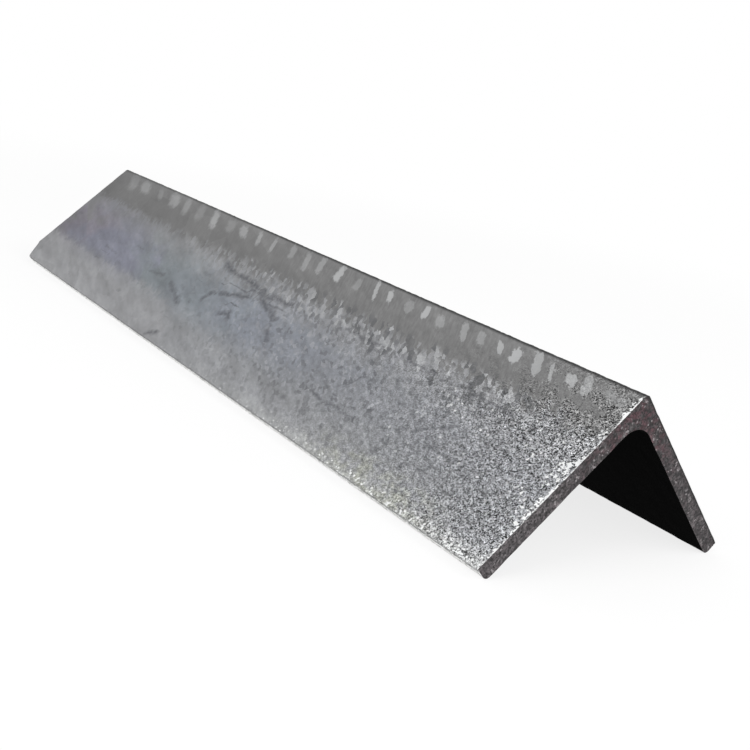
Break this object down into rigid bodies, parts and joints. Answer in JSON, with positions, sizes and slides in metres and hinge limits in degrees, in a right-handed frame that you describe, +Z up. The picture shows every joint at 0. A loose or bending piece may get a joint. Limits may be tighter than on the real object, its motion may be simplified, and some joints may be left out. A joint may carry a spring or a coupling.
{
  "type": "metal angle section",
  "caption": "Short length of hot-rolled equal-leg steel angle: an L-shaped section with a nearly sharp heel, a filleted root and small toe radii, sawn square, for frames, brackets and edging.",
  "frame": {"origin": "on the floor under the heel, halfway along the bar: the bottom centre of its bounding box", "axes": "+X along the bar, from the end with the knocked corner to the other end; +Z up through the heel; the legs spread towards -Y and +Y"},
  "size_m": [0.4, 0.106, 0.0559],
  "materials": {
    "hot_rolled_steel": "hot-rolled mill scale, mottled blue-grey, worn bright at the sawn edges, with nearly black scale inside the angle"
  },
  "bodies": {
    "root": {"angle_section": "hot_rolled_steel"}
  },
  "joints": []
}
